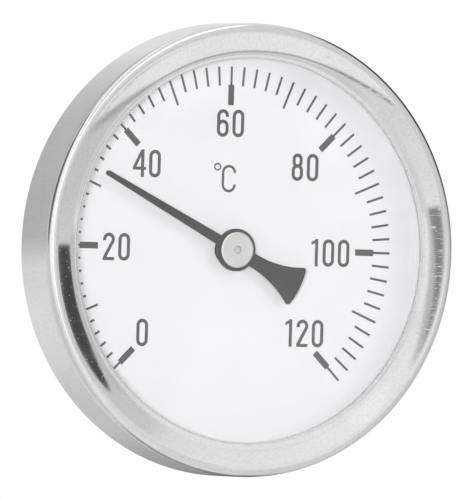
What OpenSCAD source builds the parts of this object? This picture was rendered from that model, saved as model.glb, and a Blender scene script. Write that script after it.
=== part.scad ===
// Dial thermometer: a round case with a rear stem that plugs into a screw-in pocket.
// The axis of the instrument is Y, the dial faces -Y with its top up, and the origin is where the
// axis meets the sealing face of the pocket.

/* [Case] */
// Outside diameter of the case
case_d = 80; // [70:1:120]
// Sheet thickness of the drawn shell
shell_t = 0.6; // [0.4:0.05:0.9]
// Width of the bezel from the side wall to the window opening
bezel_w = 6.1; // [5:0.1:8]
// Distance from the side wall to the flat land of the bezel
land_in = 2; // [1.7:0.05:2.4]
// Width of the flat land of the bezel
land_w = 2.4; // [1.8:0.05:3]
// Radius of the shoulders on both sides of the land
shoulder_r = 3.5; // [3:0.1:6]
// Outside radius of the front corner
front_corner_r = 1.2; // [1:0.05:1.5]
// Outside radius of the rear corner
rear_corner_r = 1; // [0.95:0.05:1.5]
// Width of the rear edge that is rolled over the back plate
rolled_w = 2.8; // [2:0.1:3.6]
// Sheet thickness of the back plate
plate_t = 0.7; // [0.6:0.1:1.2]
// Depth of the dish in the back plate
dish_depth = 1.6; // [1.4:0.1:4]
// Width of the flat rim of the back plate
plate_rim_w = 4.5; // [3.4:0.1:8]
// Width of the sloping step between the rim and the dish
dish_slope_w = 1.5; // [0.5:0.1:4]

/* [Window] */
// Thickness of the glass
window_t = 2; // [1:0.1:3]
// Thickness of the gasket between the glass and the lip
gasket_t = 0.5; // [0.3:0.1:1]
// Height of the ring between the dial and the glass
spacer_h = 6; // [5:0.1:12]
// Wall of the spacer ring
spacer_t = 0.9; // [0.6:0.1:1.5]

/* [Dial and pointer] */
// Thickness of the dial
dial_t = 0.5; // [0.4:0.1:1]
// Radius of the shaft hole in the dial
dial_hole_r = 2.6; // [1.5:0.1:4]
// Temperature that the pointer shows, in degrees Celsius
shown_temp = 32; // [0:1:120]
// Gap in plan between the tip of the pointer and the window opening
tip_gap = 5; // [2:0.1:8]
// Half the width of the needle at the pivot
needle_root_w = 0.94; // [0.6:0.01:1.4]
// Half the width of the needle at its rounded tip
needle_tip_w = 0.42; // [0.25:0.01:0.58]
// Radius of the round eye of the pointer
eye_r = 3.75; // [3.4:0.05:5]
// Half the width of the narrowest part of the tail
waist_w = 1.21; // [0.8:0.01:1.6]
// Distance from the pivot at which the tail begins to flare
flare_start = 4.2; // [3:0.1:6]
// Radius of the hollow sides of the tail
flare_r = 18.5; // [14:0.5:30]
// Distance from the pivot to the round end of the tail
tail_r = 14.25; // [11:0.25:17]
// Radius of the corners of the tail
tail_corner_r = 0.5; // [0.2:0.05:0.8]
// Thickness of the pointer
pointer_t = 0.5; // [0.3:0.1:0.8]
// Height of the back of the pointer over the dial
pointer_lift = 2.9; // [2.4:0.1:3.6]
// Radius of the bright face of the hub
hub_r = 3.15; // [2.6:0.05:3.3]
// Thickness of the face of the hub
hub_face_t = 0.6; // [0.4:0.1:1]
// Chamfer round the face of the hub
hub_chamfer = 0.15; // [0.05:0.05:0.3]
// Wall of the hub round the shaft
hub_wall = 1.2; // [0.6:0.1:1.6]
// Length of the hub behind the pointer
hub_tail_l = 1.4; // [0.8:0.1:1.8]
// Depth of the countersink round the end of the shaft
hub_dimple = 0.3; // [0.1:0.05:0.4]

/* [Shaft and helix] */
// Radius of the shaft
shaft_r = 0.6; // [0.4:0.05:0.9]
// Length of each guide bush
bush_l = 4; // [2:0.5:6]
// Width of the bush flange that rests on the end of the stem tube
bush_lip_w = 0.5; // [0.3:0.05:0.7]
// Thickness of the flange of the upper bush
bush_lip_t = 0.4; // [0.3:0.05:0.6]
// Thickness of the bimetal strip
strip_t = 0.3; // [0.2:0.05:0.5]
// Width of the bimetal strip
strip_w = 2.2; // [1.2:0.1:2.5]
// Rise of the helix in one turn
helix_pitch = 3; // [2.7:0.05:3.3]
// Number of turns of the helix
helix_turns = 13; // [8:1:14]

/* [Stem] */
// Outside diameter of the stem
stem_d = 9; // [8:0.1:11]
// Wall of the stem tube
stem_wall = 0.7; // [0.4:0.05:1]
// Thickness of the closed end of the stem
stem_end_t = 1; // [0.8:0.1:2]
// Radius of the corner of the closed end of the stem
stem_end_r = 0.6; // [0.2:0.1:0.8]
// Length of the plug inside the stem tube
plug_l = 4; // [2:0.5:6]
// Length of the spigot that the helix is fixed to
spigot_l = 3.4; // [2.6:0.1:5]
// Wall of the stem collar where it passes through the back plate
collar_wall = 1; // [0.8:0.1:1.6]
// Width of the collar flange outside the back plate
collar_lip_w = 1.5; // [0.8:0.1:2]
// Thickness of the collar flange
collar_h = 3; // [1.5:0.1:6]
// Width of the head that is peened over inside the back plate
peen_w = 1; // [0.6:0.1:2]
// Thickness of the peened head
peen_t = 0.8; // [0.5:0.1:1]

/* [Pocket] */
// Length of the pocket below its sealing face
pocket_l = 40; // [36:1:46]
// Wall of the pocket tube
pocket_wall = 1.4; // [0.8:0.1:2]
// Thickness of the closed end of the pocket tube
pocket_end_t = 1.5; // [1:0.1:3]
// Radius of the corner of the closed end of the pocket tube
pocket_end_r = 1.6; // [0.5:0.1:2.2]
// Length of pocket tube soldered into the pocket body
solder_l = 10; // [5:0.5:12]
// Outside diameter of the pipe thread, G 1/2
thread_d = 20.955; // [18:0.005:24]
// Length of the full thread
thread_l = 13; // [12:0.5:18]
// Lead-in chamfer of the thread
thread_chamfer = 1; // [0.5:0.1:1.5]
// Depth of the relief groove between the thread and the hexagon
relief_depth = 1.2; // [0.8:0.1:1.6]
// Width of the sealing washer
washer_w = 2.5; // [1.5:0.1:2.6]
// Thickness of the sealing washer
washer_t = 1.5; // [1:0.1:3]
// Width of the ledge of the hexagon round the sealing washer
hex_ledge = 0.5; // [0.4:0.1:3]
// Height of the hexagon
hex_h = 8; // [6:0.5:14]
// Height of the chamfer on the corners of the hexagon
hex_chamfer = 0.8; // [0.4:0.1:1.2]
// Wall of the neck that holds the locking screw
neck_wall = 3.4; // [2.5:0.1:5]
// Height of the neck
neck_h = 10; // [8:0.5:16]
// Chamfer round the top of the neck and the collar
edge_chamfer = 0.4; // [0.2:0.1:0.7]

/* [Locking screw] */
// Diameter of the screw thread
screw_d = 4; // [3:0.5:5]
// Diameter of the screw head
screw_head_d = 7; // [5.5:0.5:8]
// Height of the screw head
screw_head_h = 2.6; // [2:0.1:4]
// Chamfer of the screw head and tip
screw_chamfer = 0.4; // [0.2:0.1:0.6]
// Gap between the screw head and the neck when the stem is clamped
screw_gap = 1; // [0.4:0.1:2]
// Width of the screwdriver slot
slot_w = 1; // [0.6:0.1:1.4]
// Depth of the screwdriver slot
slot_depth = 1.2; // [0.6:0.1:1.8]

/* [Clearances] */
// Radial gap of pieces that are pressed or soldered together
fit_gap = 0.03; // [0.02:0.01:0.06]
// Radial gap of pieces that turn or slide in each other
run_gap = 0.06; // [0.03:0.01:0.1]
// Radial gap of the stem in the pocket
stem_gap = 0.1; // [0.05:0.01:0.1]
// Radial gap of the helix in the stem tube
helix_clear = 0.5; // [0.3:0.05:0.8]
// Radial gap of the sealing washer on the thread
washer_gap = 0.025; // [0.02:0.005:0.2]
// Gap round the loose discs in the shell
rim_gap = 0.2; // [0.1:0.05:0.4]
// End play between the helix collar and the lower bush
end_play = 0.3; // [0.1:0.05:0.6]
// Gap between the end of the stem and the bottom of the pocket
bottom_gap = 0.8; // [0.5:0.1:3]
// Depth of the end of the shaft below the face of the hub
shaft_sink = 0.1; // [0:0.05:0.3]

/* [Hidden] */

// Facets of round shapes, and steps of one turn of the helix
$fn = 96;
helix_steps = 32;
// Extra length of tools that cut right through
cut = 1;

// Printed scale: angle of zero degrees, and turn of the pointer for one degree Celsius
scale_start = 225;
scale_turn = 2.25;
pointer_angle = scale_start - scale_turn * shown_temp;

// Levels along the axis, from the sealing face to the front
hex_z = washer_t;
neck_z = hex_z + hex_h;
collar_z = neck_z + neck_h;
dish_z = collar_z + collar_h;
peen_z = dish_z + plate_t;
stem_top_z = peen_z + peen_t;
rim_z = dish_z + dish_depth;
dial_z = rim_z + plate_t;
face_z = dial_z + dial_t;
window_z = face_z + spacer_h;
gasket_z = window_z + window_t;
lip_z = gasket_z + gasket_t;

// Bezel: the lip rests on the gasket, and the front corner is tangent to the outer shoulder
case_r = case_d / 2;
lip_r = case_r - bezel_w;
land_out_r = case_r - land_in;
land_in_r = land_out_r - land_w;
corner_r = case_r - front_corner_r;
shoulder_z = lip_z - sqrt(pow(shoulder_r - shell_t, 2) - pow(land_in_r - lip_r, 2));
corner_z = shoulder_z + sqrt(pow(shoulder_r - front_corner_r, 2) - pow(corner_r - land_out_r, 2));
corner_dir = [corner_r - land_out_r, corner_z - shoulder_z] / (shoulder_r - front_corner_r);
rear_z = rim_z - shell_t;
wall_z = rear_z + rear_corner_r;

// Discs in the shell
disc_r = case_r - shell_t - rim_gap;
plate_r = case_r - rear_corner_r - fit_gap;
step_r = plate_r - plate_rim_w;
dish_r = step_r - dish_slope_w;

// Pointer and its drive
pointer_z = face_z + pointer_lift;
hub_z = pointer_z + pointer_t;
hub_top_z = hub_z + hub_face_t;
hub_neck_r = shaft_r + hub_wall;
pointer_l = lip_r - tip_gap;
bush_bore_r = shaft_r + run_gap;

// Stem and helix
stem_r = stem_d / 2;
stem_bore_r = stem_r - stem_wall;
stem_end_z = pocket_end_t + bottom_gap - pocket_l;
stem_z = stem_end_z + stem_end_t;
spigot_z = stem_z + plug_l;
helix_r = stem_bore_r - helix_clear - strip_t;
spigot_r = helix_r * cos(180 / helix_steps) - run_gap;
helix_z = spigot_z + strip_w / 2 + end_play;
helix_top_z = helix_z + helix_pitch * helix_turns;
helix_collar_z = helix_top_z - strip_w;
helix_collar_l = 2 * strip_w;
lower_bush_z = helix_collar_z + helix_collar_l + end_play;
collar_neck_r = stem_r + collar_wall;

// Pocket and locking screw
pocket_bore_r = stem_r + stem_gap;
pocket_r = pocket_bore_r + pocket_wall;
thread_r = thread_d / 2;
thread_end_z = -thread_l - thread_chamfer;
solder_z = thread_end_z + solder_l;
washer_bore_r = thread_r + washer_gap;
washer_r = washer_bore_r + washer_w;
hex_flat_r = washer_r + hex_ledge;
neck_r = pocket_bore_r + neck_wall;
screw_z = neck_z + neck_h / 2;
screw_r = screw_d / 2;
screw_tip_x = stem_r + run_gap;
screw_head_x = neck_r + screw_gap;

// Turns the axis of a piece from Z to the axis of the instrument, with the front at -Y
module along_axis() {
    rotate([90, 0, 0]) children();
}

// Points a piece that lies along Z across the neck, towards the top
module across_neck() {
    translate([0, 0, screw_z]) rotate([-90, 0, 0]) children();
}

// Tube or ring from level z, with radii r_in and r_out
module ring(r_in, r_out, z, h) {
    translate([0, 0, z])
        difference() {
            cylinder(r = r_out, h = h);
            translate([0, 0, -cut]) cylinder(r = r_in, h = h + 2 * cut);
        }
}

// Half section of a bar of radius r from level z, with the corner of its lower end rounded
module rounded_bar_section(r, z, h, corner) {
    translate([0, z + corner]) square([r, h - corner]);
    translate([0, z]) square([r - corner, corner]);
    translate([r - corner, z + corner]) circle(r = corner);
}

// Half section of the shell filled up to its surface, or up to a surface that lies inset below it
module shell_section(inset) {
    tangent = [land_out_r, shoulder_z] + (shoulder_r + cut) * corner_dir;
    rounded_bar_section(case_r - inset, rear_z + inset, corner_z - rear_z - inset, rear_corner_r - inset);
    translate([corner_r, corner_z]) circle(r = front_corner_r - inset);
    translate([land_in_r, shoulder_z]) square([land_w, shoulder_r - inset]);
    intersection() {
        translate([land_in_r, shoulder_z]) circle(r = shoulder_r - inset);
        translate([0, shoulder_z]) square([land_in_r, shoulder_r]);
    }
    intersection() {
        translate([land_out_r, shoulder_z]) circle(r = shoulder_r - inset);
        polygon([[land_out_r, shoulder_z], tangent, [land_out_r, tangent[1]]]);
    }
}

// Drawn shell: bezel with a flat land, side wall and rear edge rolled over the back plate
module front_shell() {
    color("gainsboro") along_axis()
        rotate_extrude()
            difference() {
                shell_section(0);
                shell_section(shell_t);
                translate([0, wall_z]) square([lip_r, lip_z + shoulder_r - wall_z]);
                translate([0, rear_z - cut]) square([case_r - rolled_w, wall_z - rear_z + cut]);
            }
}

// Flat gasket, flush with the edge of the lip
module window_gasket() {
    color("darkgray") along_axis()
        ring(lip_r, corner_r, gasket_z, gasket_t);
}

// Flat glass
module window() {
    color([0.85, 0.92, 0.95, 0.35]) along_axis()
        translate([0, 0, window_z]) cylinder(r = disc_r, h = window_t);
}

// Ring between the dial and the glass
module spacer_ring() {
    color("whitesmoke") along_axis()
        ring(disc_r - spacer_t, disc_r, face_z, spacer_h);
}

// White dial disc
module dial_plate() {
    color("white") along_axis()
        ring(dial_hole_r, disc_r, dial_z, dial_t);
}

// Dished back of the case, with the hole for the stem collar
module back_plate() {
    hole_r = collar_neck_r + fit_gap;
    color("silver") along_axis()
        rotate_extrude()
            polygon([
                [hole_r, dish_z],
                [dish_r, dish_z],
                [step_r, rim_z],
                [plate_r, rim_z],
                [plate_r, dial_z],
                [step_r, dial_z],
                [dish_r, peen_z],
                [hole_r, peen_z]
            ]);
}

// Centre of the hollow side of the tail, above the X axis
function tail_side_centre() = [flare_start, waist_w + flare_r];

// Centre of the rounded corner between the hollow side and the round end of the tail
function tail_corner_centre() =
    let (
        side = tail_side_centre(),
        d = norm(side),
        end_reach = tail_r - tail_corner_r,
        side_reach = flare_r + tail_corner_r,
        along = (d * d + end_reach * end_reach - side_reach * side_reach) / (2 * d),
        across = sqrt(end_reach * end_reach - along * along),
        u = side / d
    )
    along * u + across * [u[1], -u[0]];

// Half of the flared tail along +X, above the X axis
module half_tail() {
    side = tail_side_centre();
    centre = tail_corner_centre();
    to_end = centre / norm(centre);
    to_side = (side - centre) / norm(side - centre);
    difference() {
        intersection() {
            circle(r = tail_r);
            square([tail_r, tail_r / 2]);
        }
        translate(side) circle(r = flare_r);
        translate([0, waist_w]) square([flare_start, tail_r]);
        polygon([
            centre + tail_corner_r * to_end,
            centre + tail_corner_r * to_side,
            centre + tail_r / 2 * (to_end + to_side)
        ]);
    }
    translate(centre) circle(r = tail_corner_r);
}

// Flat outline of the pointer along +X, with its pivot at the origin
module pointer_outline() {
    tip_x = pointer_l - needle_tip_w;
    circle(r = eye_r);
    polygon([
        [0, -needle_root_w],
        [tip_x, -needle_tip_w],
        [tip_x, needle_tip_w],
        [0, needle_root_w]
    ]);
    translate([tip_x, 0]) circle(r = needle_tip_w);
    rotate(180) {
        half_tail();
        mirror([0, 1]) half_tail();
    }
}

// Black pointer with a hole for its hub
module pointer() {
    color("dimgray") along_axis()
        rotate([0, 0, pointer_angle])
            translate([0, 0, pointer_z])
                linear_extrude(height = pointer_t)
                    difference() {
                        pointer_outline();
                        circle(r = hub_neck_r + fit_gap);
                    }
}

// Turned hub that carries the pointer on the shaft
module pointer_hub() {
    bore_r = shaft_r + fit_gap;
    color("lightgray") along_axis()
        rotate_extrude()
            polygon([
                [bore_r, pointer_z - hub_tail_l],
                [hub_neck_r, pointer_z - hub_tail_l],
                [hub_neck_r, hub_z],
                [hub_r, hub_z],
                [hub_r, hub_top_z - hub_chamfer],
                [hub_r - hub_chamfer, hub_top_z],
                [bore_r + hub_dimple, hub_top_z],
                [bore_r, hub_top_z - hub_dimple]
            ]);
}

// Thin shaft from the helix to the pointer
module pointer_shaft() {
    top_z = hub_top_z - shaft_sink;
    color("silver") along_axis()
        translate([0, 0, helix_collar_z]) cylinder(r = shaft_r, h = top_z - helix_collar_z);
}

// Collar on the shaft that the last turn of the helix is fixed to
module helix_collar() {
    color("goldenrod") along_axis()
        ring(shaft_r + fit_gap, spigot_r, helix_collar_z, helix_collar_l);
}

// Flanged bush at the top of the stem tube
module upper_bush() {
    color("goldenrod") along_axis()
        difference() {
            union() {
                translate([0, 0, stem_top_z - bush_l]) cylinder(r = stem_bore_r - fit_gap, h = bush_l);
                translate([0, 0, stem_top_z]) cylinder(r = stem_bore_r + bush_lip_w, h = bush_lip_t);
            }
            translate([0, 0, stem_top_z - bush_l - cut])
                cylinder(r = bush_bore_r, h = bush_l + bush_lip_t + 2 * cut);
        }
}

// Plain bush above the helix
module lower_bush() {
    color("goldenrod") along_axis()
        ring(bush_bore_r, stem_bore_r - fit_gap, lower_bush_z, bush_l);
}

// Four corners of the bimetal strip at one step of the helix
function strip_section(step) =
    let (
        turn = step / helix_steps,
        a = 360 * turn,
        z = helix_z + helix_pitch * turn,
        out = [cos(a), sin(a), 0]
    )
    [
        for (corner = [[0, -1], [1, -1], [1, 1], [0, 1]])
            (helix_r + corner[0] * strip_t) * out + [0, 0, z + corner[1] * strip_w / 2]
    ];

helix_sections = [for (step = [0 : helix_steps * helix_turns]) strip_section(step)];

// Least gap between the upper edge of a turn and the lower edge of the next, over all points
helix_gap = min([
    for (step = [0 : helix_steps * (helix_turns - 1)])
        norm(helix_sections[step + helix_steps][0] - helix_sections[step][3])
]);
echo(helix_gap = helix_gap);

// Wound bimetal strip, fixed to the plug below and to the shaft above
module bimetal_helix() {
    last = len(helix_sections) - 1;
    sides = [
        for (step = [0 : last - 1], side = [0 : 3])
            let (
                a = 4 * step + side,
                b = 4 * step + (side + 1) % 4
            )
            each [[a, a + 4, b], [b, a + 4, b + 4]]
    ];
    start = [[0, 1, 2], [0, 2, 3]];
    end = [for (face = start) [for (i = [2 : -1 : 0]) face[i] + 4 * last]];
    color("peru") along_axis()
        polyhedron(points = [for (s = helix_sections) each s], faces = concat(start, sides, end));
}

// Plain tube round the helix and the shaft
module stem_tube() {
    color("darkgoldenrod") along_axis()
        ring(stem_bore_r, stem_r, stem_z, stem_top_z - stem_z);
}

// Plug that closes the stem tube and anchors the helix
module stem_plug() {
    color("darkgoldenrod") along_axis() {
        rotate_extrude()
            intersection() {
                rounded_bar_section(stem_r, stem_end_z, stem_end_t, stem_end_r);
                translate([0, stem_end_z]) square([stem_r, stem_end_t]);
            }
        translate([0, 0, stem_z]) cylinder(r = stem_bore_r - fit_gap, h = plug_l);
        translate([0, 0, spigot_z]) cylinder(r = spigot_r, h = spigot_l);
    }
}

// Collar soldered round the stem and peened into the back plate
module stem_collar() {
    bore_r = stem_r + fit_gap;
    lip_edge_r = collar_neck_r + collar_lip_w;
    peen_edge_r = collar_neck_r + peen_w;
    color("darkgoldenrod") along_axis()
        rotate_extrude()
            polygon([
                [bore_r, collar_z],
                [lip_edge_r - edge_chamfer, collar_z],
                [lip_edge_r, collar_z + edge_chamfer],
                [lip_edge_r, dish_z],
                [collar_neck_r, dish_z],
                [collar_neck_r, peen_z],
                [peen_edge_r, peen_z],
                [peen_edge_r, stem_top_z],
                [bore_r, stem_top_z]
            ]);
}

// Hexagon with chamfered corners on both faces
module chamfered_hexagon() {
    hex_corner_r = hex_flat_r / cos(30);
    intersection() {
        translate([0, 0, hex_z]) cylinder(r = hex_corner_r, h = hex_h, $fn = 6);
        rotate_extrude()
            polygon([
                [0, hex_z],
                [washer_r, hex_z],
                [hex_corner_r, hex_z + hex_chamfer],
                [hex_corner_r, neck_z - hex_chamfer],
                [washer_r, neck_z],
                [0, neck_z]
            ]);
    }
}

// Screwed body of the pocket: thread, relief groove, hexagon and neck
module pocket_body() {
    color("darkgoldenrod") along_axis()
        difference() {
            union() {
                chamfered_hexagon();
                translate([0, 0, neck_z]) cylinder(r = neck_r, h = neck_h - edge_chamfer);
                translate([0, 0, collar_z - edge_chamfer])
                    cylinder(r1 = neck_r, r2 = neck_r - edge_chamfer, h = edge_chamfer);
                cylinder(r = thread_r - relief_depth, h = hex_z);
                translate([0, 0, -thread_l]) cylinder(r = thread_r, h = thread_l);
                translate([0, 0, thread_end_z])
                    cylinder(r1 = thread_r - thread_chamfer, r2 = thread_r, h = thread_chamfer);
            }
            translate([0, 0, thread_end_z - cut])
                cylinder(r = pocket_bore_r, h = collar_z - thread_end_z + 2 * cut);
            translate([0, 0, thread_end_z - cut])
                cylinder(r = pocket_r + fit_gap, h = solder_l + cut);
            across_neck() cylinder(r = screw_r + run_gap, h = neck_r + cut);
        }
}

// Closed tube that stands in the liquid
module pocket_tube() {
    length = pocket_l + solder_z;
    color("darkgoldenrod") along_axis()
        rotate_extrude()
            difference() {
                rounded_bar_section(pocket_r, -pocket_l, length, pocket_end_r);
                translate([0, pocket_end_t - pocket_l]) square([pocket_bore_r, length]);
            }
}

// Flat sealing ring between the hexagon and the wall of the vessel
module sealing_washer() {
    color("firebrick") along_axis()
        ring(washer_bore_r, washer_r, 0, washer_t);
}

// Slotted screw across the neck, with its tip on the stem
module locking_screw() {
    head_top_x = screw_head_x + screw_head_h;
    head_r = screw_head_d / 2;
    color("darkgoldenrod") along_axis() across_neck()
        difference() {
            rotate_extrude()
                polygon([
                    [0, screw_tip_x],
                    [screw_r - screw_chamfer, screw_tip_x],
                    [screw_r, screw_tip_x + screw_chamfer],
                    [screw_r, screw_head_x],
                    [head_r, screw_head_x],
                    [head_r, head_top_x - screw_chamfer],
                    [head_r - screw_chamfer, head_top_x],
                    [0, head_top_x]
                ]);
            translate([-head_r - cut, -slot_w / 2, head_top_x - slot_depth])
                cube([2 * (head_r + cut), slot_w, slot_depth + cut]);
        }
}

front_shell();
window_gasket();
window();
spacer_ring();
dial_plate();
back_plate();
pointer();
pointer_hub();
pointer_shaft();
helix_collar();
upper_bush();
lower_bush();
bimetal_helix();
stem_tube();
stem_plug();
stem_collar();
pocket_body();
pocket_tube();
sealing_washer();
locking_screw();
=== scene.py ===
"""Looks of the dial thermometer, in metres, in the frame of its solids."""

import math

import bmesh
import bpy
from mathutils import Matrix, Vector, geometry


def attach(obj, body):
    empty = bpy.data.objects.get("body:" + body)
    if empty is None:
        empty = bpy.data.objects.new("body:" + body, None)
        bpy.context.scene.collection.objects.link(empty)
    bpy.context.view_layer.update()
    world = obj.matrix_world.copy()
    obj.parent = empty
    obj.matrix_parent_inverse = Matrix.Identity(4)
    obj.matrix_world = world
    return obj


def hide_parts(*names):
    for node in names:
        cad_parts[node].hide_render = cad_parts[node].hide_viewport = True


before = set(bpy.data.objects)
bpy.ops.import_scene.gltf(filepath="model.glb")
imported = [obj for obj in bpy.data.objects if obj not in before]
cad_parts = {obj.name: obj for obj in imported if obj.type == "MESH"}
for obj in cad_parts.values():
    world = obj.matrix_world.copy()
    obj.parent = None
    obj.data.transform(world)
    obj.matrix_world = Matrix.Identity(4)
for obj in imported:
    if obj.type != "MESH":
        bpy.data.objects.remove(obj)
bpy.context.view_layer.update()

MM = 0.001
# Segments of a full turn, and where a guard point lies beside a rounded corner
ROUND = 288
GUARD = 1.08
# Edges that turn more than this stay sharp
SHARP = math.radians(32)
# Smaller than any real length, in mm
TINY = 1e-6

# Levels along the axis and radii, in mm; the front is at the larger level
FACE = 25.3
DIAL_BACK = 24.8
WINDOW = (31.3, 33.3)
GASKET = (33.3, 33.8)
DISC_R = 39.2
LIP_R = 33.9
CASE_R = 40.0
POINTER = (28.2, 28.7)
HUB_TOP = 29.3
BACK_PLATE = (22.5, 23.2)
STEM_R = 4.5
STEM_TOP = 24.0
STEM_LOW = -36.7
NECK_TOP = 19.5
SCREW_LEVEL = 14.5
THREAD_R = 10.4775
HEX_FLAT_R = 13.5025
WASHER_R = 13.0025
WASHER_T = 1.5
BORE_R = 4.6
SOLDER_LEVEL = -4.0

# Section of the bezel: its flat land, the arcs beside it, the angles in degrees where they end,
# and how far along the section from the edge of the lip each part begins
LAND = 34.951
LAND_IN, LAND_OUT = 35.6, 38.0
SHOULDER_LEVEL, SHOULDER_R = 31.451, 3.5
CORNER, CORNER_R = (38.8, 33.607), 1.2
LIP_TURN, CORNER_TURN = 119.05, 69.64
LAND_START, LAND_END, CORNER_START = 1.775, 4.175, 5.419

# Scale: the angle of its zero, the angle of one degree Celsius, and the temperature shown
SCALE_START, SCALE_STEP, SHOWN = 225, 2.25, 32
POINTER_ANGLE = math.radians(SCALE_START - SCALE_STEP * SHOWN)


def on_axis(x, y, z):
    """Point of the instrument: x right, y up, z to the front along the axis."""
    return Vector((x, -z, y)) * MM


def on_screw(x, y, z):
    """Point of the locking screw, with z along its own axis."""
    return Vector((x, y - SCREW_LEVEL, z)) * MM


# Sections and meshes


def arc(centre, radius, start, end, steps):
    """Points of an arc between two angles in degrees."""
    angles = [math.radians(start + (end - start) * i / steps) for i in range(steps + 1)]
    return [(centre[0] + radius * math.cos(a), centre[1] + radius * math.sin(a)) for a in angles]


def soften(points, radius=0.1, steps=3):
    """Rounds the corners of a closed section that are off the axis; a guard point keeps the flats flat."""
    least_turn, most = math.radians(20), 0.45
    out = []
    for i, point in enumerate(points):
        p = Vector(point)
        before = Vector(points[i - 1]) - p
        after = Vector(points[(i + 1) % len(points)]) - p
        turn = before.angle(-after)
        if turn < least_turn or p.x < TINY:
            out.append(tuple(p))
            continue
        trim = min(radius * math.tan(turn / 2), most * before.length, most * after.length)
        r = trim / math.tan(turn / 2)
        inward = (before.normalized() + after.normalized()).normalized()
        centre = p + inward * (r / math.cos(turn / 2))
        first = before.normalized() * trim + p - centre
        last = after.normalized() * trim + p - centre
        sweep = first.angle_signed(last)
        out.append(tuple(p + before.normalized() * trim * GUARD))
        for k in range(steps + 1):
            a = math.atan2(first.y, first.x) - sweep * k / steps
            out.append((centre.x + r * math.cos(a), centre.y + r * math.sin(a)))
        out.append(tuple(p + after.normalized() * trim * GUARD))
    return out


def solid(name, verts, faces, weld=False):
    """Mesh object with outward faces, smooth but for its sharp edges."""
    mesh = bpy.data.meshes.new(name)
    mesh.from_pydata(verts, [], faces)
    bm = bmesh.new()
    bm.from_mesh(mesh)
    if weld:
        reach = 1e-7
        bmesh.ops.remove_doubles(bm, verts=bm.verts, dist=reach)
        bmesh.ops.dissolve_degenerate(bm, edges=bm.edges, dist=reach)
    bmesh.ops.recalc_face_normals(bm, faces=bm.faces)
    bm.to_mesh(mesh)
    bm.free()
    mesh.shade_smooth()
    mesh.set_sharp_from_angle(angle=SHARP)
    obj = bpy.data.objects.new(name, mesh)
    bpy.context.collection.objects.link(obj)
    return obj


def polar(name, rows, place=on_axis, weld=False):
    """Closed skin over rows; a row is a list of (radius, level) round the axis, or one such pair."""
    verts, rings = [], []
    count = max(len(row) for row in rows if isinstance(row, list))
    for row in rows:
        start = len(verts)
        if not isinstance(row, list):
            verts.append(place(0, 0, row[1]))
            rings.append([start] * count)
            continue
        for i, (r, z) in enumerate(row):
            a = math.tau * i / count
            verts.append(place(r * math.cos(a), r * math.sin(a), z))
        rings.append(list(range(start, start + count)))
    faces = []
    for a, b in zip(rings, rings[1:] + rings[:1]):
        for i in range(count):
            j = (i + 1) % count
            face = list(dict.fromkeys((a[i], a[j], b[j], b[i])))
            if len(face) > 2:
                faces.append(face)
    return solid(name, verts, faces, weld=weld)


def lathe(name, section, place=on_axis, segments=ROUND):
    """Turns a closed section of (radius, level) about the axis."""
    rows = [(r, z) if r < TINY else [(r, z)] * segments for r, z in section]
    return polar(name, rows, place)


def flat(polygons, holes=()):
    """Triangles of the union of some flat polygons, less the holes: points and faces."""
    points, loops = [], []
    for polygon in [*polygons, *holes]:
        corners = [Vector(p) for p in polygon]
        area = sum(p.cross(q) for p, q in zip(corners, corners[1:] + corners[:1]))
        loops.append(list(range(len(points), len(points) + len(corners))))
        points += corners if area > 0 else corners[::-1]
    corners, _, triangles, _, _, owners = geometry.delaunay_2d_cdt(points, [], loops, 0, TINY)
    solids = set(range(len(polygons)))
    return corners, [f for f, ids in zip(triangles, owners) if ids and set(ids) <= solids]


def slab(name, shapes, low, high):
    """Flat pieces of one thickness; each shape is (polygons, holes)."""
    verts, faces = [], []
    for polygons, holes in shapes:
        points, tris = flat(polygons, holes)
        start, step = len(verts), len(points)
        verts += [on_axis(p.x, p.y, low) for p in points]
        verts += [on_axis(p.x, p.y, high) for p in points]
        edges = set()
        for tri in tris:
            faces.append([start + i for i in reversed(tri)])
            faces.append([start + step + i for i in tri])
            edges.update(zip(tri, [*tri[1:], tri[0]]))
        for a, b in edges:
            if (b, a) not in edges:
                faces.append([start + a, start + b, start + step + b, start + step + a])
    return solid(name, verts, faces, weld=True)


def stroke(points, width, closed=False):
    """Quads along a line of the given width, mitred at its points."""
    least_mitre = 0.4
    pts = [Vector(p) for p in points]
    sides = []
    for i, p in enumerate(pts):
        into = p - pts[i - 1] if closed or i else pts[1] - p
        out = pts[(i + 1) % len(pts)] - p if closed or i < len(pts) - 1 else into
        into, out = into.normalized(), out.normalized()
        across = Vector((-into.y - out.y, into.x + out.x)).normalized()
        reach = width / 2 / max(least_mitre, across.dot(Vector((-into.y, into.x))))
        sides.append((p + across * reach, p - across * reach))
    pairs = zip(sides, sides[1:] + sides[:1]) if closed else zip(sides, sides[1:])
    return [(a[0], a[1], b[1], b[0]) for a, b in pairs]


def apply(obj, sharp):
    """Makes the object's modifiers part of its mesh, which is smooth but for its sharp edges."""
    graph = bpy.context.evaluated_depsgraph_get()
    mesh = bpy.data.meshes.new_from_object(obj.evaluated_get(graph))
    obj.modifiers.clear()
    obj.data = mesh
    mesh.shade_smooth()
    mesh.set_sharp_from_angle(angle=sharp)


def cut(obj, tool):
    """Takes the tool out of the object for good."""
    modifier = obj.modifiers.new("cut", "BOOLEAN")
    modifier.object = tool
    modifier.solver = "EXACT"
    apply(obj, SHARP)
    bpy.data.objects.remove(tool)
    return obj


def bevel(obj, width):
    """Breaks the sharp edges of the object."""
    modifier = obj.modifiers.new("edges", "BEVEL")
    modifier.width = width * MM
    modifier.segments = 2
    modifier.limit_method = "ANGLE"
    modifier.angle_limit = SHARP
    apply(obj, math.radians(40))
    return obj


# Materials


def feed(tree, socket, value):
    """Sets a socket, or links it where the value is another socket."""
    if isinstance(value, bpy.types.NodeSocket):
        tree.links.new(value, socket)
    else:
        socket.default_value = value


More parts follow.
